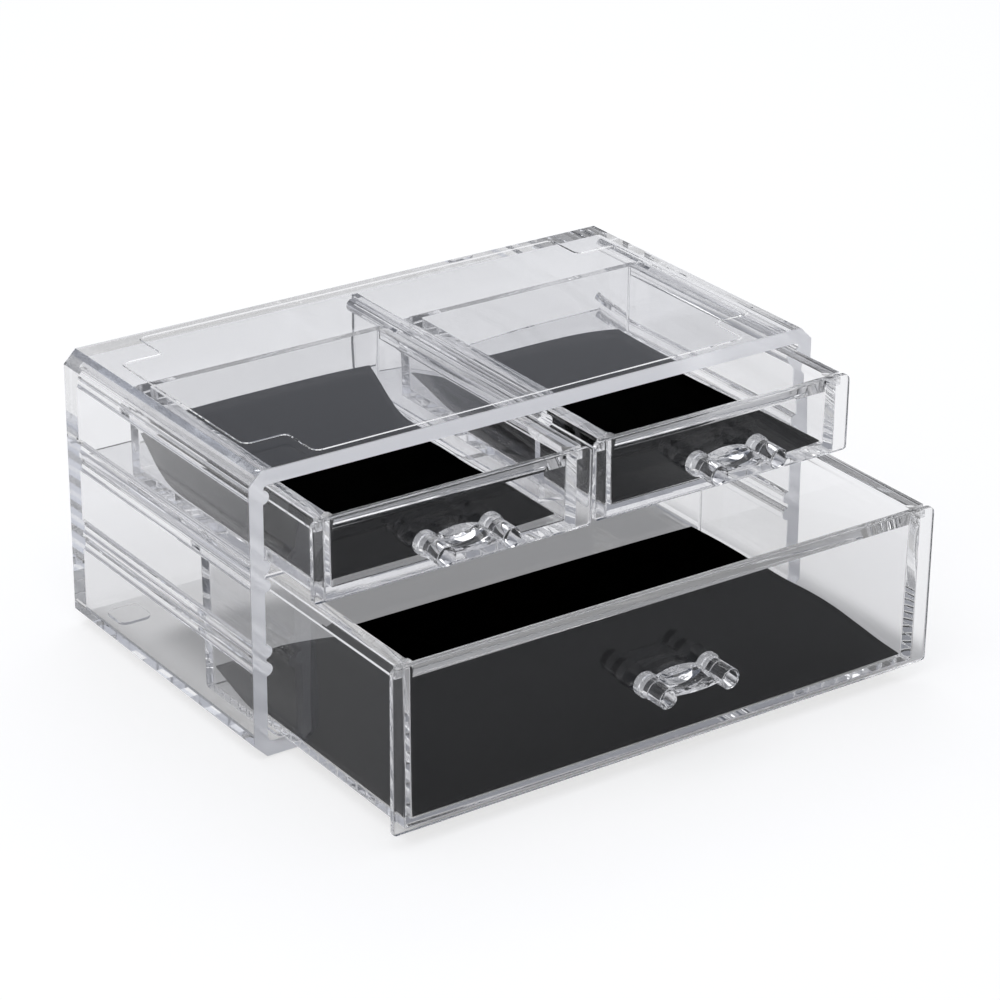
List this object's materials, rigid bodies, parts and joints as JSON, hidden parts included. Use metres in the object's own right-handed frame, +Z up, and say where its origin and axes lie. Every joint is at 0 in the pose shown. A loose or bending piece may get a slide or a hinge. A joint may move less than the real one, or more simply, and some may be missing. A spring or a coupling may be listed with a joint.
{
  "type": "makeup storage box",
  "caption": "Clear moulded tabletop storage box with a wide pull-out drawer under two half-width drawers, each with a black liner sheet.",
  "frame": {"origin": "centre of the casing's flat underside, which the four low feet lift 1 mm off the surface", "axes": "+Z up, -Y out of the open front where the drawers pull out, +X to the right as seen from the front"},
  "size_m": [0.24, 0.2218, 0.1091],
  "materials": {
    "clear_plastic": "clear polished acrylic",
    "liner_sheet": "thin black matt sheet"
  },
  "bodies": {
    "casing_body": {"casing": "clear_plastic", "shelf": "clear_plastic", "centre_divider": "clear_plastic"},
    "large_drawer": {"body_large": "clear_plastic", "front_large": "clear_plastic", "handle_large": "clear_plastic", "liner_large": "liner_sheet"},
    "left_drawer": {"body_left": "clear_plastic", "front_left": "clear_plastic", "handle_left": "clear_plastic", "liner_left": "liner_sheet"},
    "right_drawer": {"body_right": "clear_plastic", "front_right": "clear_plastic", "handle_right": "clear_plastic", "liner_right": "liner_sheet"}
  },
  "joints": [
    {"name": "large_slide", "type": "slide", "parent": "casing_body", "child": "large_drawer", "axis": [0, -1, 0], "range_m": [-0.076, 0.022]},
    {"name": "left_slide", "type": "slide", "parent": "casing_body", "child": "left_drawer", "axis": [0, -1, 0], "range_m": [-0.0283, 0.0697]},
    {"name": "right_slide", "type": "slide", "parent": "casing_body", "child": "right_drawer", "axis": [0, -1, 0], "range_m": [-0.0268, 0.0712]}
  ]
}
